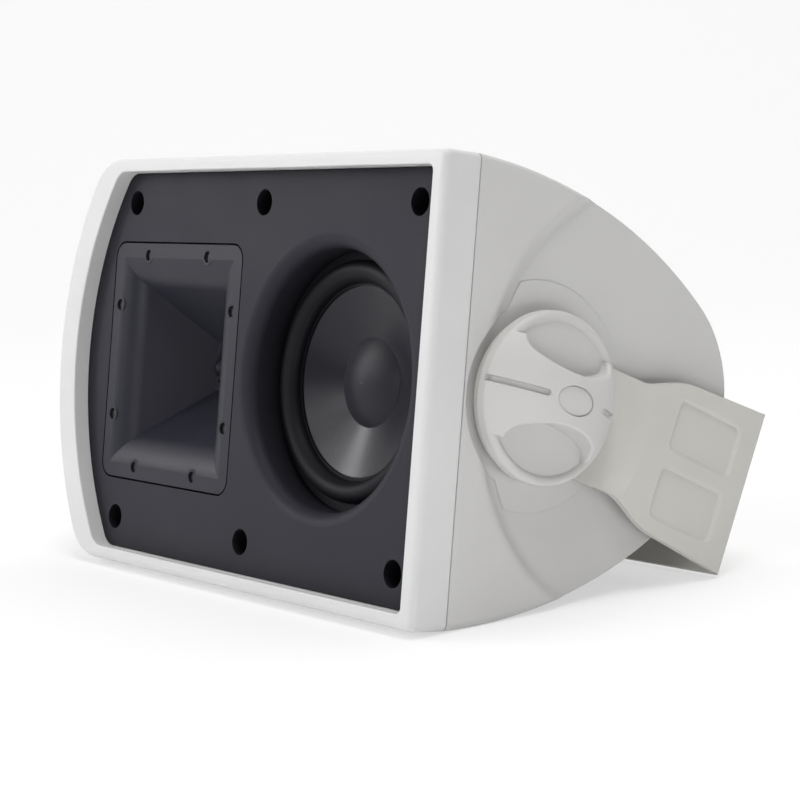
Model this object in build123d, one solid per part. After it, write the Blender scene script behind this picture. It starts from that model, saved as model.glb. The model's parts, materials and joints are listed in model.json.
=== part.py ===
from build123d import *
from math import atan2, cos, degrees, radians, sin, sqrt
import os

# Outdoor patio speaker lying on its side: X along its length, Y to the back, Z up.
# Everything is drawn with the cabinet level, front plane at y = 0 and mid-height at
# z = 0, and is leaned back onto its bracket at the end. Millimetres and degrees.

# Cabinet outline
cabinet_length = 287.5
cabinet_height = 189.5
cabinet_depth = 170.0
arch_radius = 165.0
shoulder_back = 83.0
shoulder_drop = 14.75
hip_back = 19.3
hip_height = 42.8
top_fall_angle = 4.0
cabinet_wall = 3.2
left_corner_radius = 24.0
right_corner_radius = 3.0
seam_width = 0.5
seam_depth = 0.7

# Front frame
frame_depth = 18.0
top_border = 6.2
right_border = 7.5
left_border = 16.0
frame_edge_radius = 3.0
frame_inner_radius = 0.6
opening_corner_radius = 3.0
opening_left_radius = 10.0
grille_groove_width = 1.2
grille_groove_depth = 0.9
grille_groove_back = 3.4
ledge_width = 3.5

# Baffle and its fixings
baffle_recess = 7.5
baffle_thickness = 5.0
baffle_gap = 0.3
gasket_thickness = 1.0
gasket_gap = 0.4
screw_well_radius = 5.75
screw_well_wall = 1.65
screw_well_depth = 14.5
screw_well_floor = 3.0
screw_rows_inset = 14.05
screw_column_right = 15.5
screw_column_middle = 124.0
screw_column_left = 229.3
boss_radius = 5.5
boss_length = 38.0
boss_rib = 3.0
rib_setback = 2.0

# Woofer
woofer_from_right = 72.0
woofer_opening_radius = 55.8
woofer_lip_radius = 6.0
woofer_seat_depth = 17.5
woofer_seat_radius = 70.0
woofer_frame_radius = 67.5
woofer_flange_thickness = 2.4
woofer_screw_circle = 62.0
basket_depth = 27.0
basket_throat_radius = 39.6
basket_wall = 2.0
basket_windows = 6
basket_window_width = 28.0
basket_window_margin = 6.0
basket_bore_margin = 4.0
spider_ledge_depth = 23.0
spider_edge_inset = 2.2
spider_flat = 3.0
spider_waves = 4
spider_crest = 2.0
spider_lift = 1.0
spider_cloth = 0.7
spider_foot_out = 2.0
spider_foot_in = 2.4
surround_outer_radius = 51.8
surround_foot_width = 3.8
surround_thickness = 0.75
surround_rise = 6.0
surround_lip = 2.0
surround_tuck = 0.7
cone_radius = 43.0
cone_lip_width = 2.5
cone_slope = 0.283
cone_thickness = 1.1
cone_below_flange = 1.5
dust_cap_radius = 19.3
dust_cap_rise = 5.5
dust_cap_thickness = 0.8
coil_inner_radius = 12.55
former_thickness = 0.3
winding_thickness = 0.4
coil_gap = 0.35
winding_height = 10.0
top_plate_thickness = 5.0
magnet_height = 15.0
woofer_magnet_radius = 43.0
woofer_plate_radius = 40.0
woofer_magnet_bore = 18.0
pole_vent_radius = 4.0
pole_rise = 1.0

# Horn and tweeter
horn_from_right = 191.0
horn_width = 106.0
horn_height = 111.0
horn_corner_radius = 7.0
horn_gap = 0.8
horn_flange_thickness = 4.0
horn_seat_width = 10.5
horn_ring_depth = 5.5
horn_ring_wall = 2.0
horn_seat_step = 0.5
horn_wall = 2.6
horn_throat_depth = 34.0
horn_throat_size = 23.0
horn_throat_radius = 12.3
horn_flat_border = 4.0
horn_flare_radius = 20.0
horn_flare_lead = 0.08
horn_screw_inset = 5.6
horn_screw_spread = 0.47
horn_boss_radius = 3.8
horn_counterbore = 2.6
throat_tube_length = 2.0
tweeter_flange_radius = 33.0
tweeter_collar_thickness = 4.0
tweeter_ring_thickness = 4.5
tweeter_screw_circle = 28.5
tweeter_dome_radius = 12.7
tweeter_dome_rise = 4.2
tweeter_dome_thickness = 0.25
tweeter_surround_width = 2.6
tweeter_pole_radius = 12.0
tweeter_coil_gap = 0.4
tweeter_plate_thickness = 3.0
tweeter_magnet_radius = 24.0
tweeter_magnet_height = 9.0
tweeter_magnet_gap = 2.0
tweeter_yoke_inset = 1.0
phase_plug_radius = 4.2
phase_plug_length = 8.0
phase_plug_clearance = 1.0
phase_plug_leg = 1.6
phase_plug_edge = 1.0
plug_nose_out = 3.0
plug_nose_back = 2.56
phase_plug_setback = 0.2
dome_edge_inset = 1.6
tweeter_foot = 0.4
tweeter_roll_rise = 0.6
tweeter_lift = 0.2
tweeter_edge_gap = 0.05
ring_ledge = 0.8
ring_relief = 1.2
tweeter_coil_overhang = 0.5

# Ends of the cabinet: recess for the bracket arms, pivot and clamping knobs
end_recess = 3.4
recess_front = 28.9
recess_radius = 93.6
recess_slope_width = 9.0
pivot_back = 58.1
pad_radius = 47.5
knob_well_radius = 38.5
pad_height = 0.6
pivot_boss_radius = 12.0
insert_radius = 8.0
insert_length = 17.0
stud_radius = 3.95
stud_clearance = 0.05
stud_engagement = 14.0
friction_washer_radius = 32.5
friction_washer_thickness = 1.2
washer_bore_margin = 1.0
slip_gap = 0.1

# Bracket
bracket_thickness = 3.2
bracket_gap = 13.5
bracket_half_width = 36.9
bracket_shoulder_half = 33.4
bracket_shoulder_out = 76.0
bracket_neck_half = 24.6
bracket_neck_out = 49.0
bracket_neck_slope = 0.2
bracket_side_slope = 0.12
bracket_hub_radius = 33.5
joggle_start = 36.0
joggle_end = 59.0
joggle_rise = 4.5
bracket_bend_radius = 4.0
bracket_rest_angle = 17.4
stud_hole_clearance = 0.35
panel_inner = 72.0
panel_end_margin = 12.9
panel_low = 3.0
panel_high = 27.0
panel_depth = 1.3
panel_corner = 4.0
panel_wall_angle = 50.0
wall_hole_radius = 2.75
wall_hole_spacing = 150.0
centre_hole_radius = 3.4

# Knobs
clamp_washer_radius = 14.0
clamp_washer_thickness = 1.4
knob_radius = 35.5
knob_foot_gap = 0.4
knob_foot_edge = 0.8
knob_rim_height = 3.9
knob_bead_width = 4.2
knob_bead_height = 2.7
knob_floor_height = 1.5
knob_shoulder_inset = 0.6
knob_shoulder_height = 2.05
knob_dome_height = 15.1
knob_hub_radius = 11.0
knob_skin = 2.6
knob_bar_angle = -11.4
washer_room = 0.5
scoop_waist = 10.6
scoop_bulge_radius = 48.0
scoop_corner_radius = 5.0
grip_end_half = 21.0
grip_edge_radius = 1.2
slot_width = 2.5
slot_depth = 1.8
long_slot_inner = 13.0
short_slot_inner = 17.5
stud_top_margin = 8.0
badge_half_length = 9.4
badge_half_width = 5.7
badge_thickness = 0.9
badge_gap = 0.2
badge_recess = 2.2
badge_edge_radius = 0.35

# Terminals on the back
terminal_from_right = 186.0
terminal_flat = 5.5
terminal_width = 72.0
terminal_height = 42.0
terminal_corner = 5.0
terminal_recess_side = 4.0
terminal_recess_top = 6.0
terminal_seat_top = 8.0
terminal_flange = 2.5
terminal_gasket_thickness = 1.0
pocket_width = 51.0
pocket_height = 24.0
pocket_depth = 18.0
pocket_wall = 2.0
pocket_corner = 2.5
pocket_clearance = 1.0
terminal_seat_wall = 6.5
terminal_screw_inset = 5.0
post_spacing = 19.0
post_radius = 2.5
post_tail = 6.0
post_shoulder = 2.0
post_end_inset = 1.0
nut_shoulder = 2.0
wire_hole_radius = 1.0
wire_hole_up = 2.5
post_washer_radius = 5.2
post_washer_thickness = 0.8
thumb_nut_radius = 6.4
thumb_nut_length = 12.0
thumb_nut_flutes = 12
flute_radius = 0.9
post_nut_size = 8.0
post_nut_thickness = 3.0

# Crossover and wadding
board_from_right = 82.0
board_width = 84.0
board_height = 52.0
board_thickness = 1.6
board_corner = 2.0
board_back = 128.0
board_hole_inset = 6.0
standoff_radius = 3.6
inductor_radius = 11.0
inductor_height = 16.0
inductor_bore = 4.0
capacitor_radius = 6.5
capacitor_length = 27.0
resistor_size = 8.0
resistor_length = 28.0
resistor_margin = 1.5
inductor_shift = 3.0
capacitor_shift = 4.0
board_part_gap = 1.2
wadding_thickness = 12.0
wadding_gap = 0.4
wadding_front = 66.0
wadding_back = 118.0
wadding_low = 22.0
wadding_length = 190.0

# Small fixings
thread_clearance = 0.03
hole_clearance = 0.2
cut_over = 1.0
pick_tolerance = 0.01
seat_gap = 0.02
big_screw_head = 4.2
big_screw_shank = 2.0
big_screw_length = 19.0
small_screw_head = 2.4
small_screw_shank = 1.25
small_screw_length = 7.0
medium_screw_head = 3.4
medium_screw_shank = 1.6
medium_screw_length = 9.0
head_height_ratio = 0.6

# Values worked out from the sizes above
half_length = cabinet_length / 2
half_height = cabinet_height / 2
arch_x = arch_radius - half_length
opening_right = half_length - right_border
opening_top = half_height - top_border
opening_arch = arch_radius - left_border
baffle_back = baffle_recess + baffle_thickness
ledge_front = baffle_back + gasket_thickness
woofer_x = opening_right - woofer_from_right
woofer_seat = baffle_recess + woofer_seat_depth
flange_front = woofer_seat + gasket_thickness
flange_back = flange_front + woofer_flange_thickness
basket_back = flange_front + basket_depth
horn_x = opening_right - horn_from_right
horn_throat = baffle_recess + horn_throat_depth
horn_head_seat = baffle_recess + horn_counterbore
collar_back = horn_throat + throat_tube_length
tweeter_plate_front = collar_back + tweeter_ring_thickness
well_back = baffle_recess + screw_well_depth
well_seat = well_back - screw_well_floor
screw_z = opening_top - screw_rows_inset
screw_columns = [opening_right - d for d in (screw_column_left, screw_column_middle, screw_column_right)]
recess_face = half_length - end_recess
pad_face = recess_face + pad_height
inner_end = recess_face - cabinet_wall
hub_inner = pad_face + friction_washer_thickness + slip_gap
hub_outer = hub_inner + bracket_thickness
plate_inner = hub_inner + joggle_rise
plate_outer = plate_inner + bracket_thickness
clamp_inner = hub_outer + slip_gap
clamp_outer = clamp_inner + clamp_washer_thickness
knob_seat = clamp_outer + slip_gap / 2
knob_base = hub_outer + knob_foot_gap
knob_rim = knob_base + knob_rim_height
knob_floor = knob_rim + knob_floor_height
knob_shoulder = knob_rim + knob_shoulder_height
knob_apex = knob_shoulder + knob_dome_height
shoulder_radius = knob_radius - knob_shoulder_inset
scoop_outer_radius = knob_radius - knob_bead_width
dome_radius = (shoulder_radius**2 + knob_dome_height**2) / (2 * knob_dome_height)
stud_top = knob_apex - stud_top_margin
bracket_reach = cabinet_depth - pivot_back + bracket_gap
panel_outer = bracket_reach - panel_end_margin
terminal_x = opening_right - terminal_from_right
terminal_face = cabinet_depth - terminal_flat
cup_front = terminal_face + terminal_gasket_thickness
cup_back = cup_front + terminal_flange
pocket_floor = cup_back - pocket_depth
board_x = opening_right - board_from_right
board_front = board_back - board_thickness


# Drawing helpers: slabs of a front-view or end-view sketch, and turned pieces
def front_slab(sketch, y0, y1):
    return extrude(Plane.XZ.offset(-y0) * sketch, amount=y0 - y1)


def end_slab(sketch, x0, x1):
    return extrude(Plane.YZ.offset(x0) * sketch, amount=x1 - x0)


def rod_y(x, z, radius, y0, y1):
    return front_slab(Pos(x, z) * Circle(radius), y0, y1)


def through_y(x, z, radius, y0, y1):
    """A rod that cuts right through from y0 to y1."""
    return rod_y(x, z, radius, y0 - cut_over, y1 + cut_over)


def rod_x(y, z, radius, x0, x1):
    return end_slab(Pos(y, z) * Circle(radius), x0, x1)


def ring_y(x, z, outer, inner, y0, y1):
    return front_slab(Pos(x, z) * (Circle(outer) - Circle(inner)), y0, y1)


def ring_x(y, z, outer, inner, x0, x1):
    return end_slab(Pos(y, z) * (Circle(outer) - Circle(inner)), x0, x1)


def turned_y(x, lines):
    return Pos(x, 0, 0) * revolve(make_face(lines), Axis.Y)


def turned_x(lines):
    return revolve(make_face(lines), Axis.X)


def loop(*points):
    return Polyline(*points, close=True)


def group(pieces):
    return Compound(list(pieces))


def screw_y(x, z, seat, head, shank, length, way=1):
    """A pan-head screw along Y, its head on the seat and its shank going way * length."""
    head_part = rod_y(x, z, head, *sorted((seat, seat - way * head * head_height_ratio)))
    return head_part + rod_y(x, z, shank, *sorted((seat, seat + way * length)))


# Outlines shared by the casing pieces
def front_outline(right, top, radius, left_corner, right_corner):
    """Front view: straight on three sides, arched on the left about a common centre."""
    left = arch_x - sqrt(radius**2 - top**2)
    sides = Polyline((left, top), (right, top), (right, -top), (left, -top))
    arch = ThreePointArc((left, -top), (arch_x - radius, 0), (left, top))
    outline = make_face(sides + arch)
    ends = outline.vertices().group_by(Axis.X)
    outline = fillet(ends[0], left_corner)
    return fillet(outline.vertices().group_by(Axis.X)[-1], right_corner)


def casing_outline():
    return front_outline(half_length, half_height, arch_radius, left_corner_radius, right_corner_radius)


def opening_outline(inset):
    return front_outline(opening_right - inset, opening_top - inset, opening_arch - inset,
                         opening_left_radius, opening_corner_radius)


def end_profile():
    """End view: flat front, gently falling top and bottom, rounded back."""
    fall = radians(top_fall_angle)
    start = (frame_depth, half_height)
    shoulder = (cabinet_depth - shoulder_back, half_height - shoulder_drop)
    hip = (cabinet_depth - hip_back, hip_height)
    top = TangentArc(start, shoulder, tangent=(cos(fall), -sin(fall)))
    slope = TangentArc(shoulder, hip, tangent=top % 1)
    nose = TangentArc(hip, (cabinet_depth, 0), tangent=slope % 1)
    upper = top + slope + nose
    front = Line((frame_depth, -half_height), start)
    return make_face(upper + mirror(upper, Plane.XZ) + front)


# Rear cabinet
def pad_region():
    """The round pad that shows in the recess, with the knob's well."""
    foot = Pos(recess_front + recess_radius, 0) * Circle(recess_radius - recess_slope_width / 2)
    pad = Pos(pivot_back, 0) * Circle(pad_radius)
    return (pad & foot) + Pos(pivot_back, 0) * Circle(knob_well_radius)


def end_recess_cut(side):
    """A round recess whose edge slopes in a soft S, and the knob's well cut into that slope."""
    low = recess_radius - recess_slope_width / 2
    high = recess_radius + recess_slope_width / 2
    middle = ((recess_face + half_length) / 2, recess_radius)
    foot = TangentArc((recess_face, low), middle, tangent=(0, 1))
    brow = TangentArc(middle, (half_length, high), tangent=foot % 1)
    top = half_length + cut_over
    rest = Polyline((half_length, high), (top, high), (top, 0), (recess_face, 0), (recess_face, low))
    bowl = Pos(0, recess_front + recess_radius, 0) * turned_x(foot + brow + rest)
    cut = bowl + rod_x(pivot_back, 0, knob_well_radius, recess_face, top)
    return cut if side > 0 else mirror(cut, Plane.YZ)


def baffle_boss(x, side):
    boss = rod_y(x, side * screw_z, boss_radius, well_back, well_back + boss_length)
    rib = Pos(x, well_back + (boss_length + rib_setback) / 2, side * (screw_z + half_height) / 2)
    return boss + rib * Box(boss_rib, boss_length - rib_setback, half_height - screw_z)


def pivot_boss(side):
    inner = pad_face - insert_length - cabinet_wall
    pad = end_slab(pad_region(), *sorted((side * (inner_end - cabinet_wall), side * pad_face)))
    return pad + rod_x(pivot_back, 0, pivot_boss_radius, side * inner, side * pad_face)


def board_holes():
    dx = board_width / 2 - board_hole_inset
    dz = board_height / 2 - board_hole_inset
    return [(board_x + i * dx, k * dz) for i in (-1, 1) for k in (-1, 1)]


def terminal_holes():
    dx = terminal_width / 2 - terminal_screw_inset
    dz = terminal_height / 2 - terminal_screw_inset
    return [(terminal_x + i * dx, k * dz) for i in (-1, 1) for k in (-1, 1)]


def cup_hole():
    room = 2 * pocket_wall + pocket_clearance
    return Rectangle(pocket_width + room, pocket_height + room)


def rear_cabinet():
    profile = end_profile()
    body = end_slab(profile, -half_length, half_length)
    edges = body.edges().group_by(Axis.X)[-1].sort_by(Axis.Y)[1:]
    body = fillet(edges, right_corner_radius)
    body &= front_slab(casing_outline(), frame_depth, cabinet_depth + cut_over)
    hollow = end_slab(offset(profile, -cabinet_wall), -half_length, inner_end)
    inner_arch = arch_radius - end_recess - cabinet_wall
    room = front_outline(inner_end, half_height - cabinet_wall, inner_arch,
                         left_corner_radius, right_corner_radius)
    hollow &= front_slab(room, frame_depth - cut_over, cabinet_depth)
    mouth = front_slab(room, frame_depth - cut_over, frame_depth + 2 * cabinet_wall)
    shell = body - hollow - (mouth & end_slab(profile, -half_length, half_length))
    fittings = [baffle_boss(x, side) for x in screw_columns for side in (-1, 1)]
    fittings += [rod_y(x, z, standoff_radius, board_back, cabinet_depth) for x, z in board_holes()]
    seat_front = terminal_face - terminal_seat_wall
    seat = Rectangle(terminal_width + terminal_recess_side, terminal_height + terminal_seat_top)
    fittings.append(front_slab(Pos(terminal_x, 0) * seat, seat_front, cabinet_depth))
    for fitting in fittings:
        shell += fitting & body
    outline = casing_outline()
    seam = outline - offset(outline, -seam_depth)
    shell -= front_slab(seam, frame_depth, frame_depth + seam_width)
    for side in (-1, 1):
        shell -= end_recess_cut(side)
        shell += pivot_boss(side)
        shell -= rod_x(pivot_back, 0, insert_radius, side * (pad_face - insert_length), side * half_length)
    recess = Rectangle(terminal_width + terminal_recess_side, terminal_height + terminal_recess_top)
    shell -= front_slab(Pos(terminal_x, 0) * recess, terminal_face, cabinet_depth + cut_over)
    shell -= front_slab(Pos(terminal_x, 0) * cup_hole(), seat_front - cut_over, cabinet_depth)
    for x, z in terminal_holes():
        shell -= rod_y(x, z, small_screw_shank + thread_clearance, seat_front - cut_over, cabinet_depth)
    for x in screw_columns:
        for side in (-1, 1):
            depth = well_seat + big_screw_length + cut_over
            shell -= rod_y(x, side * screw_z, big_screw_shank + thread_clearance, well_back - cut_over, depth)
    for x, z in board_holes():
        shell -= rod_y(x, z, small_screw_shank + thread_clearance, board_back - cut_over,
                       board_back + small_screw_length)
    return shell


# Front frame, baffle, gasket and the screws that clamp them
def front_frame():
    frame = front_slab(casing_outline(), 0, frame_depth)
    frame = fillet(frame.edges().group_by(Axis.Y)[0], frame_edge_radius)
    frame -= front_slab(opening_outline(0), -cut_over, ledge_front)
    frame -= front_slab(opening_outline(ledge_width), -cut_over, frame_depth + cut_over)
    left = arch_x - sqrt(opening_arch**2 - opening_top**2) + opening_left_radius
    right = opening_right - opening_corner_radius
    for side in (-1, 1):
        middle = Pos((left + right) / 2, grille_groove_back + grille_groove_width / 2, side * opening_top)
        frame -= middle * Box(right - left, grille_groove_width, 2 * grille_groove_depth)
    rim = [e for e in frame.edges().group_by(Axis.Y)[0] if e.bounding_box().max.Y < pick_tolerance]
    inner = [e for e in rim if inside_opening(e.center())]
    return fillet(inner, frame_inner_radius)


def inside_opening(point):
    edge = pick_tolerance
    across = arch_x - opening_arch - edge < point.X < opening_right + edge
    return across and abs(point.Z) < opening_top + edge


def baffle_gasket():
    ring = opening_outline(baffle_gap) - opening_outline(ledge_width)
    return front_slab(ring, baffle_back, ledge_front)


def horn_plate(extra):
    radius = horn_corner_radius + max(extra, 0)
    return Pos(horn_x, 0) * RectangleRounded(horn_width + 2 * extra, horn_height + 2 * extra, radius)


def horn_screw_places():
    dx = horn_width / 2 - horn_screw_inset
    dz = horn_height / 2 - horn_screw_inset
    across = [(horn_x + i * horn_screw_spread * horn_width / 2, k * dz) for i in (-1, 1) for k in (-1, 1)]
    upright = [(horn_x + i * dx, k * horn_screw_spread * horn_height / 2) for i in (-1, 1) for k in (-1, 1)]
    return across + upright


def woofer_screw_places():
    reach = woofer_screw_circle * sqrt(0.5)
    return [(woofer_x + i * reach, k * reach) for i in (-1, 1) for k in (-1, 1)]


def front_baffle():
    baffle = front_slab(opening_outline(baffle_gap), baffle_recess, baffle_back)
    baffle += rod_y(woofer_x, 0, woofer_seat_radius, baffle_back, woofer_seat)
    baffle += front_slab(horn_plate(horn_ring_wall), baffle_back, baffle_back + horn_ring_depth)
    for x in screw_columns:
        for side in (-1, 1):
            well = screw_well_radius + screw_well_wall
            baffle += rod_y(x, side * screw_z, well, baffle_recess, well_back)
    room = front_slab(opening_outline(baffle_gap), baffle_recess, baffle_back)
    room += front_slab(opening_outline(ledge_width + baffle_gap), baffle_recess, woofer_seat + cut_over)
    baffle &= room
    baffle -= rod_y(woofer_x, 0, woofer_opening_radius, 0, woofer_seat + cut_over)
    lip = [e for e in baffle.edges().filter_by(GeomType.CIRCLE).group_by(Axis.Y)[0]
           if abs(e.radius - woofer_opening_radius) < pick_tolerance]
    baffle = fillet(lip, woofer_lip_radius)
    baffle -= front_slab(horn_plate(horn_gap), 0, baffle_recess + horn_flange_thickness)
    ring_back = baffle_back + horn_ring_depth
    baffle -= front_slab(horn_plate(horn_seat_step - horn_seat_width), 0, ring_back + cut_over)
    for x in screw_columns:
        for side in (-1, 1):
            baffle -= rod_y(x, side * screw_z, screw_well_radius, 0, well_seat)
            baffle -= rod_y(x, side * screw_z, big_screw_shank + hole_clearance, 0, well_back + cut_over)
    for x, z in horn_screw_places():
        baffle -= rod_y(x, z, small_screw_shank + thread_clearance, 0, ring_back + cut_over)
    for x, z in woofer_screw_places():
        deep = woofer_seat - medium_screw_length + woofer_flange_thickness
        baffle -= rod_y(x, z, medium_screw_shank + thread_clearance, deep, woofer_seat + cut_over)
    return baffle


def baffle_screws():
    places = [(x, side * screw_z) for x in screw_columns for side in (-1, 1)]
    return group(screw_y(x, z, well_seat, big_screw_head, big_screw_shank, big_screw_length)
                 for x, z in places)


# Horn: the flare is where two curved prisms cross, which gives the creased corners
def flare_prism(half_flange, inset, along_x):
    mouth = half_flange - horn_flat_border - horn_flare_radius / 2 - inset
    throat = horn_throat_size / 2 - inset
    front = baffle_recess - horn_flare_lead
    back = horn_throat
    wall = FilletPolyline((throat, back), (mouth, front), (2 * half_flange, front),
                          radius=horn_flare_radius - inset)
    centre = Polyline((2 * half_flange, front), (0, front), (0, back), (throat, back))
    half = make_face(wall + centre)
    section = half + mirror(half, Plane.YZ)
    if along_x:
        return extrude(section, amount=horn_height, both=True)
    turned = extrude(section, amount=horn_width, both=True)
    return Rotation(0, 90, 0) * turned


def flare_solid(inset):
    wide = flare_prism(horn_width / 2, inset, True)
    tall = flare_prism(horn_height / 2, inset, False)
    return Pos(horn_x, 0, 0) * (wide & tall)


def horn():
    flange_back_y = baffle_recess + horn_flange_thickness
    skin = flare_solid(-horn_wall)
    body = skin & front_slab(horn_plate(-horn_seat_width), baffle_recess, horn_throat)
    body += front_slab(horn_plate(0), baffle_recess, flange_back_y)
    body += rod_y(horn_x, 0, tweeter_flange_radius, collar_back - tweeter_collar_thickness, collar_back)
    body -= flare_solid(0)
    for x, z in horn_screw_places():
        body += rod_y(x, z, horn_boss_radius, baffle_recess, flange_back_y) & front_slab(
            horn_plate(0), baffle_recess, flange_back_y)
    body -= rod_y(horn_x, 0, horn_throat_radius, horn_throat - cut_over, collar_back + cut_over)
    for x, z in horn_screw_places():
        body -= rod_y(x, z, small_screw_head + hole_clearance, 0, horn_head_seat)
        body -= rod_y(x, z, small_screw_shank + hole_clearance, 0, flange_back_y + cut_over)
    collar_front = collar_back - tweeter_collar_thickness
    for x, z in tweeter_screw_places():
        body -= through_y(x, z, medium_screw_shank + thread_clearance, collar_front, collar_back)
    return body


def horn_screws():
    return group(screw_y(x, z, horn_head_seat, small_screw_head, small_screw_shank, small_screw_length)
                 for x, z in horn_screw_places())


def tweeter_screw_places():
    angles = [radians(90 + 120 * i) for i in range(3)]
    return [(horn_x + tweeter_screw_circle * cos(a), tweeter_screw_circle * sin(a)) for a in angles]


def dome_face(radius, edge, rise, thickness):
    """Half section of a thin domed cap, its edge at y = edge and its crown towards -Y."""
    ball = (radius**2 + rise**2) / (2 * rise)
    centre = edge - rise + ball
    outer_mid = centre - sqrt(ball**2 - radius**2 / 4)
    outer = ThreePointArc((0, edge - rise), (radius / 2, outer_mid), (radius, edge))
    inner_ball = ball - thickness
    inner_radius = sqrt(inner_ball**2 - (ball - rise)**2)
    inner_mid = centre - sqrt(inner_ball**2 - inner_radius**2 / 4)
    inner = ThreePointArc((inner_radius, edge), (inner_radius / 2, inner_mid), (0, edge - rise + thickness))
    rim = Line((radius, edge), (inner_radius, edge))
    axis = Line((0, edge - rise + thickness), (0, edge - rise))
    return outer + rim + inner + axis


dome_edge = tweeter_plate_front - dome_edge_inset
tweeter_coil_outer = tweeter_dome_radius
tweeter_plate_back = tweeter_plate_front + tweeter_plate_thickness
tweeter_magnet_back = tweeter_plate_back + tweeter_magnet_height


def tweeter_ring():
    mouth = tweeter_dome_radius + tweeter_surround_width
    ring = ring_y(horn_x, 0, tweeter_flange_radius, mouth + ring_relief, collar_back, tweeter_plate_front)
    ring += ring_y(horn_x, 0, tweeter_flange_radius - ring_relief, mouth - ring_ledge,
                   dome_edge + tweeter_lift + tweeter_foot, tweeter_plate_front)
    for x, z in tweeter_screw_places():
        ring -= through_y(x, z, medium_screw_shank + hole_clearance, collar_back, tweeter_plate_front)
    return ring


def tweeter_diaphragm():
    face = dome_face(tweeter_dome_radius, dome_edge, tweeter_dome_rise, tweeter_dome_thickness)
    return turned_y(horn_x, face)


def tweeter_surround():
    """Thin half-roll between the dome's edge and the ring, with a flat foot on the ring's ledge."""
    inner = tweeter_dome_radius + tweeter_edge_gap
    outer = tweeter_dome_radius + tweeter_surround_width
    crown = (inner + outer - ring_ledge) / 2
    top = dome_edge - tweeter_roll_rise
    foot_top = dome_edge + tweeter_lift
    foot_back = foot_top + tweeter_foot
    bend = outer - ring_ledge
    rim = outer + ring_relief - tweeter_lift
    roll = ThreePointArc((inner, dome_edge), (crown, top), (bend, foot_top))
    foot = Polyline((bend, foot_top), (rim, foot_top), (rim, foot_back), (bend - tweeter_lift, foot_back))
    under = ThreePointArc((bend - tweeter_lift, foot_back), (crown, top + tweeter_foot),
                          (inner, dome_edge + tweeter_foot))
    close = Line((inner, dome_edge + tweeter_foot), (inner, dome_edge))
    return turned_y(horn_x, roll + foot + under + close)


def tweeter_voice_coil():
    inner = tweeter_pole_radius + tweeter_coil_gap
    return ring_y(horn_x, 0, tweeter_coil_outer, inner, dome_edge + seat_gap,
                  tweeter_plate_back - tweeter_coil_overhang)


def tweeter_top_plate():
    plate = ring_y(horn_x, 0, tweeter_flange_radius, tweeter_coil_outer + tweeter_coil_gap,
                   tweeter_plate_front, tweeter_plate_back)
    for x, z in tweeter_screw_places():
        plate -= through_y(x, z, medium_screw_shank + hole_clearance, tweeter_plate_front, tweeter_plate_back)
    return plate


def tweeter_magnet():
    bore = tweeter_coil_outer + tweeter_magnet_gap
    return ring_y(horn_x, 0, tweeter_magnet_radius, bore, tweeter_plate_back, tweeter_magnet_back)


def tweeter_yoke():
    pole = rod_y(horn_x, 0, tweeter_pole_radius, tweeter_plate_front - tweeter_coil_gap, tweeter_magnet_back)
    return pole + rod_y(horn_x, 0, tweeter_magnet_radius - tweeter_yoke_inset, tweeter_magnet_back,
                        tweeter_magnet_back + tweeter_plate_thickness)


def tweeter_screws():
    size = (medium_screw_head, medium_screw_shank, medium_screw_length)
    return group(screw_y(x, z, tweeter_plate_back, *size, -1) for x, z in tweeter_screw_places())


def phase_plug():
    """A small bullet on three legs that fills the middle of the throat."""
    back = dome_edge - tweeter_dome_rise - phase_plug_clearance
    front = back - phase_plug_length
    edge = back - phase_plug_edge
    nose = ThreePointArc((0, front), (plug_nose_out, front + plug_nose_back), (phase_plug_radius, edge))
    tail = Polyline((phase_plug_radius, edge), (phase_plug_radius, back), (0, back), (0, front))
    plug = turned_y(horn_x, nose + tail)
    reach = horn_throat_radius - seat_gap
    for turn in (90, 210, 330):
        leg = Pos(reach / 2, 0) * Rectangle(reach, phase_plug_leg)
        leg = front_slab(Pos(horn_x, 0) * (Rot(0, 0, turn) * leg), horn_throat + phase_plug_setback, back)
        plug += leg & rod_y(horn_x, 0, reach, horn_throat, back)
    return plug


# Woofer
def woofer_gasket():
    ring = ring_y(woofer_x, 0, woofer_frame_radius, surround_outer_radius + surround_foot_width + gasket_gap,
                  woofer_seat, flange_front)
    for x, z in woofer_screw_places():
        ring -= through_y(x, z, medium_screw_shank + hole_clearance, woofer_seat, flange_front)
    return ring


def woofer_basket():
    rim = surround_outer_radius
    throat = basket_throat_radius
    bore = woofer_magnet_bore + basket_bore_margin
    shell = turned_y(woofer_x, loop(
        (rim, flange_front), (woofer_frame_radius, flange_front), (woofer_frame_radius, flange_back),
        (rim + basket_wall, flange_back), (throat + basket_wall, basket_back + basket_wall),
        (bore, basket_back + basket_wall), (bore, basket_back), (throat, basket_back)))
    middle = (flange_back + flange_front + spider_ledge_depth) / 2
    height = spider_ledge_depth - woofer_flange_thickness - basket_window_margin
    for i in range(basket_windows):
        window = Box(basket_window_width, height, rim - throat + 6 * basket_wall)
        window = Pos(0, middle, (rim + throat) / 2) * window
        shell -= Pos(woofer_x, 0, 0) * (Rot(0, 360 / basket_windows * (i + 0.5), 0) * window)
    ledge = flange_front + spider_ledge_depth
    edge = spider_outer()
    shell += ring_y(woofer_x, 0, edge + spider_flat, edge - spider_flat, ledge, ledge + basket_wall)
    for x, z in woofer_screw_places():
        shell -= through_y(x, z, medium_screw_shank + hole_clearance, flange_front, flange_back)
    return shell


def spider_outer():
    slope = (surround_outer_radius - basket_throat_radius) / basket_depth
    return surround_outer_radius - slope * spider_ledge_depth - spider_edge_inset


def woofer_screws():
    return group(screw_y(x, z, flange_back, medium_screw_head, medium_screw_shank, medium_screw_length, -1)
                 for x, z in woofer_screw_places())


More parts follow.
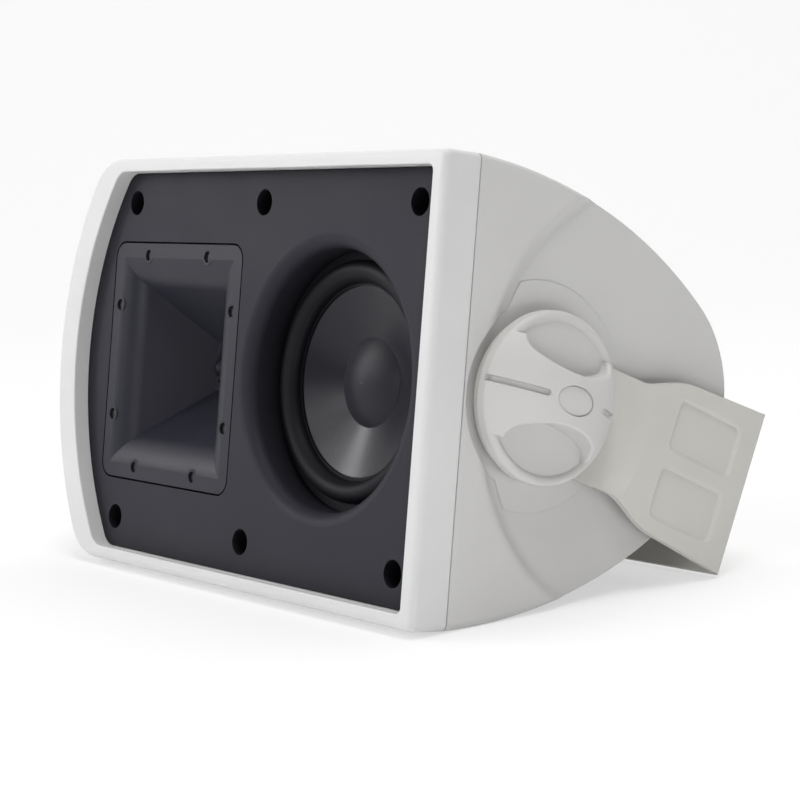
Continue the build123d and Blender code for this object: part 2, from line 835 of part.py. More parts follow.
cone_front = flange_front + cone_below_flange
former_radius = coil_inner_radius + former_thickness
cone_neck = former_radius + seat_gap
cone_neck_y = cone_front + cone_slope * (cone_radius - cone_lip_width - cone_neck)


def cone_surface(radius):
    return cone_front + cone_slope * (cone_radius - cone_lip_width - radius)


def woofer_cone():
    inner = cone_radius - cone_lip_width
    return turned_y(woofer_x, loop(
        (cone_radius, cone_front), (inner, cone_front), (cone_neck, cone_neck_y),
        (cone_neck, cone_neck_y + cone_thickness), (inner, cone_front + cone_thickness),
        (cone_radius, cone_front + cone_thickness)))


def woofer_dust_cap():
    edge = cone_surface(dust_cap_radius) - seat_gap
    return turned_y(woofer_x, dome_face(dust_cap_radius, edge, dust_cap_rise, dust_cap_thickness))


def woofer_surround():
    """Half-roll rubber ring from the basket flange to the cone's lip."""
    outer = surround_outer_radius
    inner = cone_radius - hole_clearance / 2
    foot_top = flange_front - surround_thickness
    lip_top = cone_front - surround_thickness
    crown = (outer + inner) / 2
    top = lip_top - surround_rise
    roll = ThreePointArc((outer, foot_top), (crown, top), (inner, lip_top))
    lip_end = inner - surround_lip
    tuck = surround_thickness * surround_tuck
    lip = Polyline((inner, lip_top), (lip_end, lip_top), (lip_end, cone_front), (inner - tuck, cone_front))
    under = ThreePointArc((inner - tuck, cone_front), (crown, top + surround_thickness),
                          (outer - tuck, flange_front))
    foot_end = outer + surround_foot_width
    foot = Polyline((outer - tuck, flange_front), (foot_end, flange_front), (foot_end, foot_top),
                    (outer, foot_top))
    return turned_y(woofer_x, roll + lip + under + foot)


def woofer_spider():
    """Corrugated cloth ring that centres the voice coil."""
    ledge = flange_front + spider_ledge_depth
    inner = former_radius + seat_gap
    outer = spider_outer()
    folds = 2 * spider_waves
    pitch = (outer - spider_flat - inner) / folds
    top = ledge - spider_lift
    bottom = ledge - seat_gap
    front = [(inner + i * pitch, top - spider_crest * (i % 2)) for i in range(folds + 1)]
    back = [(r, y + spider_cloth) for r, y in reversed(front)]
    rim = outer + spider_foot_out
    edge = [(rim, top), (rim, bottom), (outer - spider_foot_in, bottom)]
    return turned_y(woofer_x, loop(*front, *edge, *back[1:]))


gap_plate_front = basket_back + basket_wall
gap_plate_back = gap_plate_front + top_plate_thickness
magnet_back = gap_plate_back + magnet_height


def woofer_voice_coil():
    winding = former_radius + winding_thickness
    start = (gap_plate_front + gap_plate_back - winding_height) / 2
    return turned_y(woofer_x, loop(
        (coil_inner_radius, cone_neck_y), (former_radius, cone_neck_y), (former_radius, start),
        (winding, start), (winding, start + winding_height), (coil_inner_radius, start + winding_height)))


def woofer_top_plate():
    bore = former_radius + winding_thickness + coil_gap
    return ring_y(woofer_x, 0, woofer_plate_radius, bore, gap_plate_front, gap_plate_back)


def woofer_magnet():
    return ring_y(woofer_x, 0, woofer_magnet_radius, woofer_magnet_bore, gap_plate_back, magnet_back)


def woofer_yoke():
    pole = rod_y(woofer_x, 0, coil_inner_radius - coil_gap, gap_plate_front - pole_rise, magnet_back)
    yoke = pole + rod_y(woofer_x, 0, woofer_plate_radius, magnet_back, magnet_back + top_plate_thickness)
    back = magnet_back + top_plate_thickness
    return yoke - rod_y(woofer_x, 0, pole_vent_radius, gap_plate_front - 2 * cut_over, back + cut_over)


# Crossover board with its parts, and the wadding
def crossover_board():
    outline = Pos(board_x, 0) * RectangleRounded(board_width, board_height, board_corner)
    board = front_slab(outline, board_front, board_back)
    for x, z in board_holes():
        board -= through_y(x, z, small_screw_shank + hole_clearance, board_front, board_back)
    return board


def crossover_inductors():
    x = board_x - board_width / 4 + inductor_shift
    coils = [ring_y(x, z, inductor_radius, inductor_bore, board_front - inductor_height, board_front)
             for z in (-inductor_radius - board_part_gap, inductor_radius + board_part_gap)]
    return group(coils)


def crossover_capacitors():
    y = board_front - capacitor_radius - seat_gap
    x = board_x + board_width / 4 - capacitor_shift
    return group(rod_x(y, z, capacitor_radius, x - capacitor_length / 2, x + capacitor_length / 2)
                 for z in (-capacitor_radius - board_part_gap, capacitor_radius + board_part_gap))


def crossover_resistor():
    x = board_x + board_width / 4 - capacitor_shift
    z = -board_height / 2 + resistor_size / 2 + resistor_margin
    place = Pos(x, board_front - resistor_size / 2, z)
    return place * Box(resistor_length, resistor_size, resistor_size)


def crossover_screws():
    return group(screw_y(x, z, board_front, small_screw_head, small_screw_shank, small_screw_length)
                 for x, z in board_holes())


def acoustic_wadding():
    profile = end_profile()
    outer = offset(profile, -(cabinet_wall + wadding_gap))
    inner = offset(profile, -(cabinet_wall + wadding_gap + wadding_thickness))
    middle = (wadding_front + wadding_back) / 2
    window = Rectangle(wadding_back - wadding_front, 2 * half_height)
    window = Pos(middle, wadding_low + half_height) * window
    return end_slab((outer - inner) & window, -wadding_length / 2, wadding_length / 2)


# Terminals
def terminal_gasket():
    plate = RectangleRounded(terminal_width, terminal_height, terminal_corner)
    plate -= cup_hole()
    gasket = front_slab(Pos(terminal_x, 0) * plate, terminal_face, cup_front)
    for x, z in terminal_holes():
        gasket -= through_y(x, z, small_screw_shank + hole_clearance, terminal_face, cup_front)
    return gasket


def post_places():
    return [terminal_x - post_spacing / 2, terminal_x + post_spacing / 2]


def terminal_cup():
    plate = RectangleRounded(terminal_width, terminal_height, terminal_corner)
    tub = RectangleRounded(pocket_width + 2 * pocket_wall, pocket_height + 2 * pocket_wall,
                           pocket_corner + pocket_wall)
    pocket = RectangleRounded(pocket_width, pocket_height, pocket_corner)
    middle = Pos(terminal_x, 0)
    cup = front_slab(middle * plate, cup_front, cup_back)
    cup += front_slab(middle * tub, pocket_floor - pocket_wall, cup_back)
    cup -= front_slab(middle * pocket, pocket_floor, cup_back + cut_over)
    for x, z in terminal_holes():
        cup -= through_y(x, z, small_screw_shank + hole_clearance, cup_front, cup_back)
    for x in post_places():
        cup -= rod_y(x, 0, post_radius + hole_clearance, pocket_floor - pocket_wall - cut_over, cup_back)
    return cup


def terminal_screws():
    return group(screw_y(x, z, cup_back, small_screw_head, small_screw_shank, small_screw_length, -1)
                 for x, z in terminal_holes())


washer_floor = pocket_floor + post_shoulder
nut_floor = washer_floor + post_washer_thickness + slip_gap


def wire_hole(x):
    return Pos(x, nut_floor + wire_hole_up, 0) * Cylinder(wire_hole_radius, 4 * post_radius)


def terminal_posts():
    """Threaded studs with a shoulder on the pocket floor and a cross hole for bare wire."""
    posts = []
    tail = pocket_floor - pocket_wall - post_tail
    for x in post_places():
        post = rod_y(x, 0, post_radius, tail, nut_floor + thumb_nut_length - post_end_inset)
        post += rod_y(x, 0, post_washer_radius, pocket_floor, washer_floor - slip_gap)
        posts.append(post - wire_hole(x))
    return group(posts)


def post_nuts():
    back = pocket_floor - pocket_wall
    nut = RegularPolygon(post_nut_size / 2, 6, major_radius=False) - Circle(post_radius + thread_clearance)
    return group(front_slab(Pos(x, 0) * nut, back - post_nut_thickness, back) for x in post_places())


def post_washer(x):
    back = washer_floor + post_washer_thickness
    return ring_y(x, 0, post_washer_radius, post_radius + hole_clearance, washer_floor, back)


def thumb_nut(x):
    flutes = PolarLocations(thumb_nut_radius + flute_radius * 0.3, thumb_nut_flutes) * Circle(flute_radius)
    bore = post_radius + stud_clearance
    section = Circle(thumb_nut_radius) - flutes - Circle(bore)
    nut = front_slab(Pos(x, 0) * section, nut_floor, nut_floor + thumb_nut_length)
    shoulder = ring_y(x, 0, post_washer_radius, bore, nut_floor, nut_floor + nut_shoulder)
    return nut + shoulder


# Pivot hardware, drawn for the right end and mirrored for the left
def pivot_insert():
    bore = stud_radius + stud_clearance
    return ring_x(pivot_back, 0, insert_radius - seat_gap, bore, pad_face - insert_length, pad_face)


def friction_washer():
    back = pad_face + friction_washer_thickness
    return ring_x(pivot_back, 0, friction_washer_radius, insert_radius + washer_bore_margin, pad_face, back)


def clamp_washer():
    bore = stud_radius + stud_hole_clearance
    return ring_x(pivot_back, 0, clamp_washer_radius, bore, clamp_inner, clamp_outer)


def knob_stud():
    return rod_x(pivot_back, 0, stud_radius, pad_face - stud_engagement, stud_top)


def dome_lines(drop, edge):
    """The knob's dome lowered by drop, from its crown out to radius edge, and where it ends."""
    ball = dome_radius - drop
    centre = knob_apex - dome_radius
    end = (centre + sqrt(ball**2 - edge**2), edge)
    mid = (centre + sqrt(ball**2 - edge**2 / 4), edge / 2)
    return ThreePointArc((centre + ball, 0), mid, end), end


def dome_solid(drop, edge, base):
    arc, end = dome_lines(drop, edge)
    return turned_x(arc + Polyline(end, (base, edge), (base, 0), (knob_apex - drop, 0)))


def knob_disc():
    """Flat disc with a round bead as its rim."""
    bead = ThreePointArc((knob_rim, knob_radius),
                         (knob_rim + knob_bead_height, knob_radius - knob_bead_width / 2),
                         (knob_floor, scoop_outer_radius))
    rest = Polyline((knob_floor, scoop_outer_radius), (knob_floor, 0), (knob_base, 0),
                    (knob_base, knob_radius - knob_foot_edge), (knob_base + knob_foot_edge, knob_radius),
                    (knob_rim, knob_radius))
    return turned_x(bead + rest)


def grip_outline(inset):
    """The grip bar seen from the end: a round less two lens-shaped scoops with rounded tips."""
    outline = Circle(shoulder_radius - inset) & Rectangle(2 * knob_radius, 2 * (grip_end_half - inset))
    for side in (-1, 1):
        bulge = Pos(0, side * (scoop_waist + scoop_bulge_radius)) * Circle(scoop_bulge_radius + inset)
        lens = Circle(scoop_outer_radius + inset) & bulge
        outline -= fillet(lens.vertices(), scoop_corner_radius)
    return outline


def grip_bar():
    bar = dome_solid(0, shoulder_radius, knob_base) & end_slab(grip_outline(0), knob_base, knob_apex)
    crest = [e for e in bar.edges() if e.center().X > knob_shoulder + grip_edge_radius]
    flanks = [e for e in crest if abs(e.center().Z) > grip_edge_radius]
    return fillet(flanks, grip_edge_radius)


def knob_hollow():
    """The room under the disc and the grip bar, round the knob's hub."""
    under = ring_x(0, 0, scoop_outer_radius, knob_hub_radius, knob_base - cut_over, knob_floor - knob_skin)
    room = dome_solid(knob_skin, shoulder_radius - 2 * knob_skin, knob_base - cut_over)
    room &= end_slab(grip_outline(knob_skin), knob_base - cut_over, knob_apex)
    room -= rod_x(0, 0, knob_hub_radius, knob_base - 2 * cut_over, knob_apex)
    seat = rod_x(0, 0, clamp_washer_radius + washer_room, knob_base - cut_over, knob_seat)
    return under + room + seat


def knob_slots():
    """A long and a short groove along the bar, both open at the rim."""
    outer = knob_radius + cut_over
    skin = rod_x(0, 0, outer, knob_base - cut_over, knob_apex + cut_over)
    skin -= dome_solid(slot_depth, shoulder_radius - slot_depth, knob_base - 2 * cut_over)
    strips = Sketch()
    for way, inner in ((-1, long_slot_inner), (1, short_slot_inner)):
        tip = inner + slot_width / 2
        strips += Pos(way * (outer + tip) / 2, 0) * Rectangle(outer - tip, slot_width)
        strips += Pos(way * tip, 0) * Circle(slot_width / 2)
    return skin & end_slab(strips, knob_rim, knob_apex + cut_over)


def knob():
    body = knob_disc() + grip_bar()
    body -= knob_hollow()
    body -= knob_slots()
    recess = Ellipse(badge_half_length + badge_gap, badge_half_width + badge_gap)
    body -= end_slab(recess, knob_apex - badge_recess, knob_apex + cut_over)
    body -= rod_x(0, 0, stud_radius + seat_gap, knob_base - cut_over, stud_top + seat_gap)
    return Pos(0, pivot_back, 0) * (Rot(knob_bar_angle, 0, 0) * body)


def knob_badge():
    floor = knob_apex - badge_recess
    badge = end_slab(Ellipse(badge_half_length, badge_half_width), floor, floor + badge_thickness)
    badge = fillet(badge.edges().group_by(Axis.X)[-1], badge_edge_radius)
    return Pos(0, pivot_back, 0) * (Rot(knob_bar_angle, 0, 0) * badge)


# Bracket, drawn about the pivot with its arms straight back
def arm_outline():
    neck_end = (bracket_neck_out, bracket_neck_half)
    shoulder = (bracket_shoulder_out, bracket_shoulder_half)
    tip = (bracket_reach, bracket_half_width)
    flare = Spline(neck_end, shoulder, tangents=[(1, bracket_neck_slope), (1, bracket_side_slope)])
    upper = Line((0, bracket_neck_half), neck_end) + flare + Line(shoulder, tip)
    closing = Line(tip, (bracket_reach, -bracket_half_width))
    root = Line((0, -bracket_neck_half), (0, bracket_neck_half))
    return make_face(upper + mirror(upper, Plane.XZ) + closing + root) + Circle(bracket_hub_radius)


def arm_panel(side):
    """A shallow pressed panel with sloping walls."""
    size = RectangleRounded(panel_outer - panel_inner, panel_high - panel_low, panel_corner)
    place = Pos((panel_inner + panel_outer) / 2, side * (panel_low + panel_high) / 2)
    return extrude(Plane.YZ.offset(plate_outer) * (place * size), amount=-panel_depth, taper=panel_wall_angle)


def arm():
    reach = bracket_reach + bracket_half_width
    inner_side = [(hub_inner, 0), (hub_inner, joggle_start), (plate_inner, joggle_end), (plate_inner, reach)]
    outer_side = [(x + bracket_thickness, r) for x, r in reversed(inner_side)]
    dish = turned_x(loop(*inner_side, *outer_side))
    plate = dish & end_slab(arm_outline(), hub_inner - cut_over, plate_outer + cut_over)
    for side in (-1, 1):
        plate -= arm_panel(side)
    return plate - rod_x(0, 0, stud_radius + stud_hole_clearance, 0, plate_outer + cut_over)


def bracket():
    right = arm()
    bar = Pos(0, bracket_reach - bracket_thickness / 2, 0) * Box(
        2 * plate_outer, bracket_thickness, 2 * bracket_half_width)
    whole = right + mirror(right, Plane.YZ) + bar
    bends = whole.edges().filter_by(Axis.Z).group_by(Axis.Y)[-1]
    whole = fillet([e for e in bends if abs(e.center().X) > plate_inner], bracket_bend_radius)
    back = bracket_reach + 1
    for x in (-wall_hole_spacing / 2, wall_hole_spacing / 2):
        whole -= rod_y(x, 0, wall_hole_radius, bracket_reach - 2 * bracket_thickness, back)
    whole -= rod_y(0, 0, centre_hole_radius, bracket_reach - 2 * bracket_thickness, back)
    return Pos(0, pivot_back, 0) * (Rot(-bracket_rest_angle, 0, 0) * whole)


# Lean: the frame's lower rear edge and the bracket's lower rear edge stand on the floor
def lean_angle():
    swing = radians(bracket_rest_angle)
    foot_y = pivot_back + bracket_reach * cos(swing) - bracket_half_width * sin(swing)
    foot_z = -bracket_reach * sin(swing) - bracket_half_width * cos(swing)
    return degrees(atan2(foot_z + half_height, foot_y - frame_depth))


def make_nodes():
    nodes = {
        "rear_cabinet": rear_cabinet(),
        "front_frame": front_frame(),
        "front_baffle": front_baffle(),
        "baffle_gasket": baffle_gasket(),
        "baffle_screws": baffle_screws(),
        "horn": horn(),
        "horn_screws": horn_screws(),
        "phase_plug": phase_plug(),
        "tweeter_ring": tweeter_ring(),
        "tweeter_diaphragm": tweeter_diaphragm(),
        "tweeter_surround": tweeter_surround(),
        "tweeter_voice_coil": tweeter_voice_coil(),
        "tweeter_top_plate": tweeter_top_plate(),
        "tweeter_magnet": tweeter_magnet(),
        "tweeter_yoke": tweeter_yoke(),
        "tweeter_screws": tweeter_screws(),
        "woofer_basket": woofer_basket(),
        "woofer_gasket": woofer_gasket(),
        "woofer_screws": woofer_screws(),
        "woofer_surround": woofer_surround(),
        "woofer_cone": woofer_cone(),
        "woofer_dust_cap": woofer_dust_cap(),
        "woofer_spider": woofer_spider(),
        "woofer_voice_coil": woofer_voice_coil(),
        "woofer_top_plate": woofer_top_plate(),
        "woofer_magnet": woofer_magnet(),
        "woofer_yoke": woofer_yoke(),
        "crossover_board": crossover_board(),
        "crossover_inductors": crossover_inductors(),
        "crossover_capacitors": crossover_capacitors(),
        "crossover_resistor": crossover_resistor(),
        "crossover_screws": crossover_screws(),
        "acoustic_wadding": acoustic_wadding(),
        "terminal_gasket": terminal_gasket(),
        "terminal_cup": terminal_cup(),
        "terminal_screws": terminal_screws(),
        "terminal_posts": terminal_posts(),
        "post_nuts": post_nuts(),
        "bracket": bracket(),
    }
    for colour, x in zip(("black", "red"), post_places()):
        nodes[colour + "_post_washer"] = post_washer(x)
        nodes[colour + "_thumb_nut"] = thumb_nut(x)
    for make in (pivot_insert, friction_washer, clamp_washer, knob_stud, knob, knob_badge):
        right = make()
        nodes["right_" + make.__name__] = right
        nodes["left_" + make.__name__] = mirror(right, Plane.YZ)
    return nodes


def stand(nodes):
    """Lean every piece back and set the whole on z = 0, centred over the origin."""
    lean = Rot(-lean_angle(), 0, 0)
    leaned = {name: lean * piece for name, piece in nodes.items()}
    boxes = [piece.bounding_box() for piece in leaned.values()]
    low = min(b.min.Z for b in boxes)
    middle_y = (min(b.min.Y for b in boxes) + max(b.max.Y for b in boxes)) / 2
    middle_x = (min(b.min.X for b in boxes) + max(b.max.X for b in boxes)) / 2
    place = Pos(-middle_x, -middle_y, -low)
    return {name: place * piece for name, piece in leaned.items()}, place * lean


parts, placement = stand(make_nodes())
os.makedirs("parts", exist_ok=True)
for name, piece in parts.items():
    export_step(piece, f"parts/{name}.step")
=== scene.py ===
import json
import math

import bpy
from mathutils import Matrix, Vector


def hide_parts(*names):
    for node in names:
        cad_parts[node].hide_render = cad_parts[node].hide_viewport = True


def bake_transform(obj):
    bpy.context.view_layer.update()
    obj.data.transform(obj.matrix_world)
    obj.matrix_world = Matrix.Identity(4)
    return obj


# Outdoor patio speaker in a pale studio. Metres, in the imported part's own frame.
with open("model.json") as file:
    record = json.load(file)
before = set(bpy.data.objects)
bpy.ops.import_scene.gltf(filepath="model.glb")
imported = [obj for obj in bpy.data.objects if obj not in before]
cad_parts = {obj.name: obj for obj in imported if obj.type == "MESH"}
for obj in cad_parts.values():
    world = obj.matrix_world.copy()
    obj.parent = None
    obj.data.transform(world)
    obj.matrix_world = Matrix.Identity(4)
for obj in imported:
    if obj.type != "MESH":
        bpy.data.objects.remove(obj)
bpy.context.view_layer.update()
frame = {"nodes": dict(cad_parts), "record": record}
nodes = frame["nodes"]

# Camera: place, axes, focal length in the photograph's pixels, sensor in millimetres, nearest point seen
camera_place = (0.80558, -0.61821, 0.19443)
camera_right = (0.61941, 0.78402, -0.04054)
camera_down = (0.06723, -0.10443, -0.99226)
camera_forward = (-0.78218, 0.61189, -0.1174)
focal_pixels = 2200
picture_pixels = 800
sensor_width = 36.0
nearest_seen = 0.01

# Backdrop: a wide floor, a curve behind the part and a wall
floor_reach = 40.0
sweep_start = 1.6
sweep_radius = 1.2
sweep_steps = 24
wall_height = 3.0

# Backdrop paper: its finish, and a glow that grows between two distances from the part
paper_white = 0.94
paper_roughness = 0.9
paper_glow_near = 0.55
paper_glow_far = 0.86
glow_grows_from = 0.13
glow_grows_to = 0.34

# Light from all round, and the point that the lamps face
ambient_strength = 0.15
part_middle = (0.0, 0.0, 0.09)

# Key light's strips on an arc: name, degrees round from the front to the left, width and power
key_distance = 2.3
key_level = 1.15
key_height = 1.3
key_strips = (
    ("key_near", 24, 0.36, 6.5),
    ("key_middle", 38, 0.14, 4.5),
    ("key_far", 52, 0.36, 16),
)

# Other lamps: name, place, width, height and power
lamps = (
    ("top_light", (0.0, 0.5, 2.2), 2.0, 2.0, 36),
    ("side_light", (0.9, -0.5, 2.0), 0.6, 0.6, 11),
    ("front_light", (0.75, -2.0, 0.7), 0.7, 0.7, 7.5),
    ("low_card", (0.42, -0.1, 0.03), 0.3, 0.05, 0.1),
)

# Sizes of textures, rounded edges and the shade painted into the baffle's crevices
plastic_grain = 0.0006
paint_grain = 0.0011
plastic_drift = 0.03
metal_grain = 0.0008
metal_depth = 0.00001
white_edge = 0.0007
dark_edge = 0.0003
baffle_painted_shade_reach = 0.014

# How far colour and roughness drift, and the stretch of a noise that they follow
plastic_colour_drift = 0.014
plastic_roughness_drift = 0.03
metal_roughness_drift = 0.06
noise_low = 0.3
noise_high = 0.7

# Cloth and foam: finish, fineness, colour drift, and relief as a share of the fibre's size
cloth_roughness = 0.95
cloth_specular = 0.1
fibre_detail = 4.0
fibre_colour_drift = 0.12
fibre_relief = 0.25

# Samples for rounded edges and for the shade painted into crevices
edge_samples = 4
painted_shade_samples = 8


def add_object(name, data):
    """A new object in the scene."""
    thing = bpy.data.objects.new(name, data)
    bpy.context.scene.collection.objects.link(thing)
    return thing


# Shader helpers
def new_material(name, colour, roughness, metallic=0.0, specular=0.5):
    """A plain material, with its node tree and shader."""
    material = bpy.data.materials.new(name)
    material.use_nodes = True
    tree = material.node_tree
    shader = tree.nodes["Principled BSDF"]
    shader.inputs["Base Color"].default_value = (*colour, 1.0)
    shader.inputs["Roughness"].default_value = roughness
    shader.inputs["Metallic"].default_value = metallic
    shader.inputs["Specular IOR Level"].default_value = specular
    return material, tree, shader


def noise(tree, size, detail=2.0):
    """Noise over the part with lumps of about size metres."""
    place = tree.nodes.new("ShaderNodeTexCoord")
    texture = tree.nodes.new("ShaderNodeTexNoise")
    texture.inputs["Scale"].default_value = 1.0 / size
    texture.inputs["Detail"].default_value = detail
    tree.links.new(place.outputs["Object"], texture.inputs["Vector"])
    return texture.outputs["Fac"]


def soft_edges(tree, radius):
    """Normals that round over sharp edges."""
    bevel = tree.nodes.new("ShaderNodeBevel")
    bevel.samples = edge_samples
    bevel.inputs["Radius"].default_value = radius
    return bevel.outputs["Normal"]


def add_bump(tree, shader, height, depth, edge=0.0):
    """Relief of that depth along a noise, over edges rounded by that radius."""
    bump = tree.nodes.new("ShaderNodeBump")
    bump.inputs["Distance"].default_value = depth
    tree.links.new(height, bump.inputs["Height"])
    if edge:
        tree.links.new(soft_edges(tree, edge), bump.inputs["Normal"])
    tree.links.new(bump.outputs["Normal"], shader.inputs["Normal"])


def drift_roughness(tree, shader, roughness, height, drift):
    """Roughness that drifts up and down along a noise."""
    spread = tree.nodes.new("ShaderNodeMapRange")
    spread.inputs["From Min"].default_value = noise_low
    spread.inputs["From Max"].default_value = noise_high
    spread.inputs["To Min"].default_value = roughness - drift
    spread.inputs["To Max"].default_value = roughness + drift
    tree.links.new(height, spread.inputs["Value"])
    tree.links.new(spread.outputs["Result"], shader.inputs["Roughness"])


def drift_colour(tree, shader, colour, height, share, painted_shade_reach=0.0):
    """Colour that drifts along a noise, with shade painted darker into crevices of about that width."""
    ramp = tree.nodes.new("ShaderNodeValToRGB")
    dark, light = ramp.color_ramp.elements
    dark.position = noise_low
    light.position = noise_high
    dark.color = (*(c * (1 - share) for c in colour), 1.0)
    light.color = (*(c * (1 + share) for c in colour), 1.0)
    tree.links.new(height, ramp.inputs["Fac"])
    tint = ramp.outputs["Color"]
    # Painted shade: ambient occlusion darkens the base colour in crevices
    if painted_shade_reach:
        shade = tree.nodes.new("ShaderNodeAmbientOcclusion")
        shade.samples = painted_shade_samples
        shade.inputs["Distance"].default_value = painted_shade_reach
        tree.links.new(tint, shade.inputs["Color"])
        tint = shade.outputs["Color"]
    tree.links.new(tint, shader.inputs["Base Color"])


# Materials
def moulded(name, colour, roughness, depth, specular=0.5, edge=0.0, grain=plastic_grain, painted_shade_reach=0.0):
    """Plastic, paint or another plain finish: fine grain, colour and roughness that drift slightly, and
    shade painted into crevices where a width is given.
    """
    material, tree, shader = new_material(name, colour, roughness, specular=specular)
    slow = noise(tree, plastic_drift)
    drift_colour(tree, shader, colour, slow, plastic_colour_drift, painted_shade_reach)
    drift_roughness(tree, shader, roughness, slow, plastic_roughness_drift)
    add_bump(tree, shader, noise(tree, grain), depth, edge)
    return material


def metal(name, colour, roughness):
    """Bare metal with a fine uneven roughness."""
    material, tree, shader = new_material(name, colour, roughness, metallic=1.0)
    fine = noise(tree, metal_grain)
    drift_roughness(tree, shader, roughness, fine, metal_roughness_drift)
    add_bump(tree, shader, fine, metal_depth)
    return material


def cloth(name, colour, size):
    """Cloth, foam or wadding with fibres of about size metres."""
    material, tree, shader = new_material(name, colour, cloth_roughness, specular=cloth_specular)
    fibre = noise(tree, size, fibre_detail)
    drift_colour(tree, shader, colour, fibre, fibre_colour_drift)
    add_bump(tree, shader, fibre, size * fibre_relief)
    return material


def make_materials():
    """One material for each material slot of the record: its function, then that function's arguments."""
    finishes = {
        "white_shell": (moulded, (0.625, 0.62, 0.615), 0.55, 0.00002, 0.35, white_edge),
        "white_frame": (moulded, (0.70, 0.70, 0.70), 0.45, 0.00001, 0.4, white_edge),
        "white_knob": (moulded, (0.62, 0.61, 0.60), 0.42, 0.00001, 0.3, white_edge),
        "badge_plastic": (moulded, (0.62, 0.61, 0.605), 0.40, 0.00001, 0.4),
        "bracket_paint": (moulded, (0.61, 0.60, 0.565), 0.45, 0.00003, 0.4, white_edge, paint_grain),
        "washer_nylon": (moulded, (0.62, 0.61, 0.57), 0.5, 0.00001),
        # Baffle: its colour has shade painted darker in its holes and crevices
        "baffle_plastic": (
            moulded, (0.025, 0.024, 0.033), 0.55, 0.00003, 0.17, dark_edge, plastic_grain, baffle_painted_shade_reach,
        ),
        "horn_plastic": (moulded, (0.021, 0.021, 0.031), 0.38, 0.00001, 0.22, dark_edge),
        "cone_plastic": (moulded, (0.014, 0.014, 0.020), 0.25, 0.000003, 0.25),
        "cap_plastic": (moulded, (0.022, 0.0215, 0.029), 0.42, 0.000005, 0.21),
        "surround_rubber": (moulded, (0.005, 0.005, 0.008), 0.55, 0.00001, 0.2),
        "gasket_foam": (cloth, (0.01, 0.01, 0.01), 0.0008),
        "black_steel": (moulded, (0.008, 0.008, 0.009), 0.45, 0.00001),
        "bare_steel": (metal, (0.55, 0.55, 0.56), 0.32),
        "ferrite": (moulded, (0.03, 0.03, 0.033), 0.6, 0.00002),
        "dome_alloy": (metal, (0.6, 0.6, 0.62), 0.35),
        "coil_copper": (metal, (0.62, 0.30, 0.16), 0.35),
        "spider_cloth": (cloth, (0.40, 0.28, 0.12), 0.0008),
        "board_laminate": (moulded, (0.02, 0.10, 0.04), 0.3, 0.00001),
        "capacitor_film": (moulded, (0.35, 0.03, 0.03), 0.25, 0.00001),
        "ceramic": (moulded, (0.7, 0.68, 0.62), 0.7, 0.00002),
        "wadding_fibre": (cloth, (0.8, 0.8, 0.78), 0.003),
        "black_plastic": (moulded, (0.012, 0.012, 0.012), 0.45, 0.00001),
        "red_plastic": (moulded, (0.45, 0.012, 0.012), 0.4, 0.00001),
        "plated_brass": (metal, (0.72, 0.52, 0.22), 0.25),
    }
    return {slot: make(slot, *values) for slot, (make, *values) in finishes.items()}


def dress_nodes(materials):
    """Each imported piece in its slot's material."""
    for part in frame["record"]["subparts"]:
        node = nodes[part["node"]]
        node.data.materials.clear()
        node.data.materials.append(materials[part["material_slot"]])


def soft_surround():
    """A copy of the surround that stands in for the imported one, which is hidden."""
    surround = add_object("surround_skin", nodes["woofer_surround"].data.copy())
    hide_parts("woofer_surround")
    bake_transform(surround)


# Studio: floor that sweeps up behind the part, soft lights and the camera
def glow_by_distance(tree):
    """Little glow under the part, where its shadow falls, and more further off."""
    place = tree.nodes.new("ShaderNodeTexCoord")
    reach = tree.nodes.new("ShaderNodeVectorMath")
    reach.operation = "LENGTH"
    spread = tree.nodes.new("ShaderNodeMapRange")
    spread.interpolation_type = "SMOOTHSTEP"
    spread.inputs["From Min"].default_value = glow_grows_from
    spread.inputs["From Max"].default_value = glow_grows_to
    spread.inputs["To Min"].default_value = paper_glow_near
    spread.inputs["To Max"].default_value = paper_glow_far
    tree.links.new(place.outputs["Object"], reach.inputs[0])
    tree.links.new(reach.outputs["Value"], spread.inputs["Value"])
    return spread.outputs["Result"]


def seen_rays(tree):
    """1 for what the camera, reflections and glass see, and 0 for light that falls on things."""
    path = tree.nodes.new("ShaderNodeLightPath")
    seen = path.outputs["Is Camera Ray"]
    for ray in ("Is Glossy Ray", "Is Transmission Ray"):
        either = tree.nodes.new("ShaderNodeMath")
        either.operation = "MAXIMUM"
        tree.links.new(seen, either.inputs[0])
        tree.links.new(path.outputs[ray], either.inputs[1])
        seen = either.outputs["Value"]
    return seen


def paper_material():
    """Backdrop paper that takes shadows and glows towards the camera and in reflections."""
    white = (paper_white,) * 3
    material, tree, shader = new_material("backdrop_paper", white, paper_roughness, specular=0.0)
    share = tree.nodes.new("ShaderNodeMath")
    share.operation = "MULTIPLY"
    tree.links.new(seen_rays(tree), share.inputs[0])
    tree.links.new(glow_by_distance(tree), share.inputs[1])
    glow = tree.nodes.new("ShaderNodeEmission")
    mix = tree.nodes.new("ShaderNodeMixShader")
    tree.links.new(share.outputs["Value"], mix.inputs["Fac"])
    tree.links.new(shader.outputs["BSDF"], mix.inputs[1])
    tree.links.new(glow.outputs["Emission"], mix.inputs[2])
    tree.links.new(mix.outputs["Shader"], tree.nodes["Material Output"].inputs["Surface"])
    return material


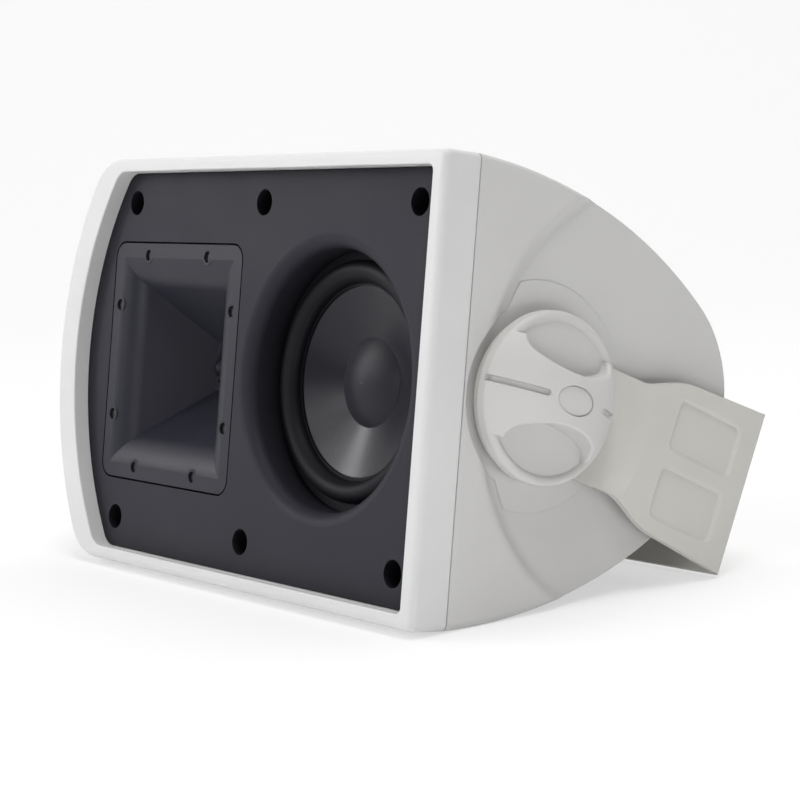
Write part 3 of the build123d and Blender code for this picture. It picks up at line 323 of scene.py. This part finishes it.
def sweep_backdrop():
    """A floor that curves up into a wall behind the part, as the photograph's camera sees it."""
    along = Vector((camera_forward[0], camera_forward[1], 0)).normalized()
    across = Vector((camera_right[0], camera_right[1], 0)).normalized()
    outline = [(-floor_reach, 0.0), (sweep_start, 0.0)]
    for step in range(1, sweep_steps + 1):
        turn = math.pi / 2 * step / sweep_steps
        distance = sweep_start + sweep_radius * math.sin(turn)
        outline.append((distance, sweep_radius * (1 - math.cos(turn))))
    outline.append((sweep_start + sweep_radius, wall_height))
    points = []
    faces = []
    for row, (distance, level) in enumerate(outline):
        for side in (-1, 1):
            spot = along * distance + across * side * floor_reach
            points.append((spot.x, spot.y, level))
        if row:
            faces.append((2 * row - 2, 2 * row - 1, 2 * row + 1, 2 * row))
    mesh = bpy.data.meshes.new("backdrop")
    mesh.from_pydata(points, [], faces)
    mesh.polygons.foreach_set("use_smooth", [True] * len(mesh.polygons))
    mesh.materials.append(paper_material())
    backdrop = add_object("backdrop", mesh)


def soft_light(name, place, width, height, power):
    """A soft box that faces the part and that the camera doesn't see."""
    data = bpy.data.lights.new(name, "AREA")
    data.shape = "RECTANGLE"
    data.size = width
    data.size_y = height
    data.energy = power
    light = add_object(name, data)
    light.location = place
    aim = Vector(part_middle) - Vector(place)
    light.rotation_euler = aim.to_track_quat("-Z", "Y").to_euler()
    light.visible_camera = False


def studio_lights():
    """The key light's strips on their arc, then the other lamps."""
    for name, angle, width, power in key_strips:
        turn = math.radians(angle)
        place = (-key_distance * math.sin(turn), -key_distance * math.cos(turn), key_level)
        soft_light(name, place, width, key_height, power)
    for lamp in lamps:
        soft_light(*lamp)


def studio_world():
    """Dim even light from all round."""
    world = bpy.data.worlds.new("studio")
    world.use_nodes = True
    sky = world.node_tree.nodes["Background"]
    sky.inputs["Color"].default_value = (1.0, 1.0, 1.0, 1.0)
    sky.inputs["Strength"].default_value = ambient_strength
    bpy.context.scene.world = world


def photo_camera():
    """The photograph's view of the part."""
    data = bpy.data.cameras.new("photo_camera")
    data.sensor_width = sensor_width
    data.lens = focal_pixels / picture_pixels * sensor_width
    data.clip_start = nearest_seen
    camera = add_object("photo_camera", data)
    right, down, forward = (Vector(v) for v in (camera_right, camera_down, camera_forward))
    turn = Matrix((right, -down, -forward)).transposed().to_4x4()
    camera.matrix_world = Matrix.Translation(camera_place) @ turn
    bpy.context.scene.camera = camera


def make_studio():
    """Backdrop, lights, world and camera."""
    sweep_backdrop()
    studio_lights()
    studio_world()
    photo_camera()
    bpy.context.scene.view_settings.view_transform = "Standard"


dress_nodes(make_materials())
soft_surround()
make_studio()
